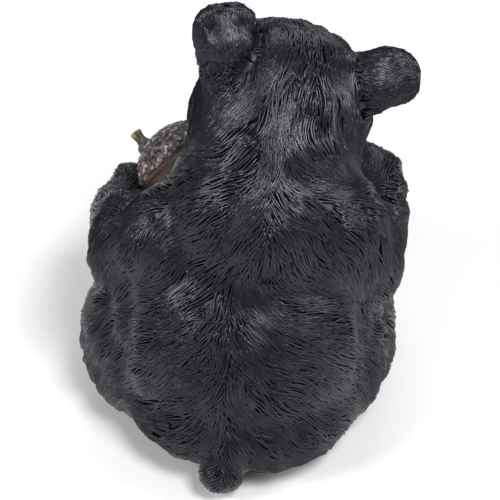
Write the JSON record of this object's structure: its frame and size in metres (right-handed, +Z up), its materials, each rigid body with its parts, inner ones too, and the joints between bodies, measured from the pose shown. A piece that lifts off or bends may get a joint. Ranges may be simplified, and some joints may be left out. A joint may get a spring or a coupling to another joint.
{
  "type": "sitting bear statue",
  "caption": "Cast resin figurine of a seated black bear with carved fur, its head tilted, hugging a large acorn; stands on its flat underside",
  "frame": {"origin": "on the plane that the statue stands on, below the middle of its bounding box", "axes": "+Z up; the bear faces -Y and its left side is +X"},
  "size_m": [0.1408, 0.1614, 0.1877],
  "materials": {
    "black_resin": "black painted cast resin with carved fur, half gloss",
    "acorn_brown": "brown painted cast resin, dry brushed cap"
  },
  "bodies": {
    "root": {"bear": "black_resin", "acorn": "acorn_brown"}
  },
  "joints": []
}
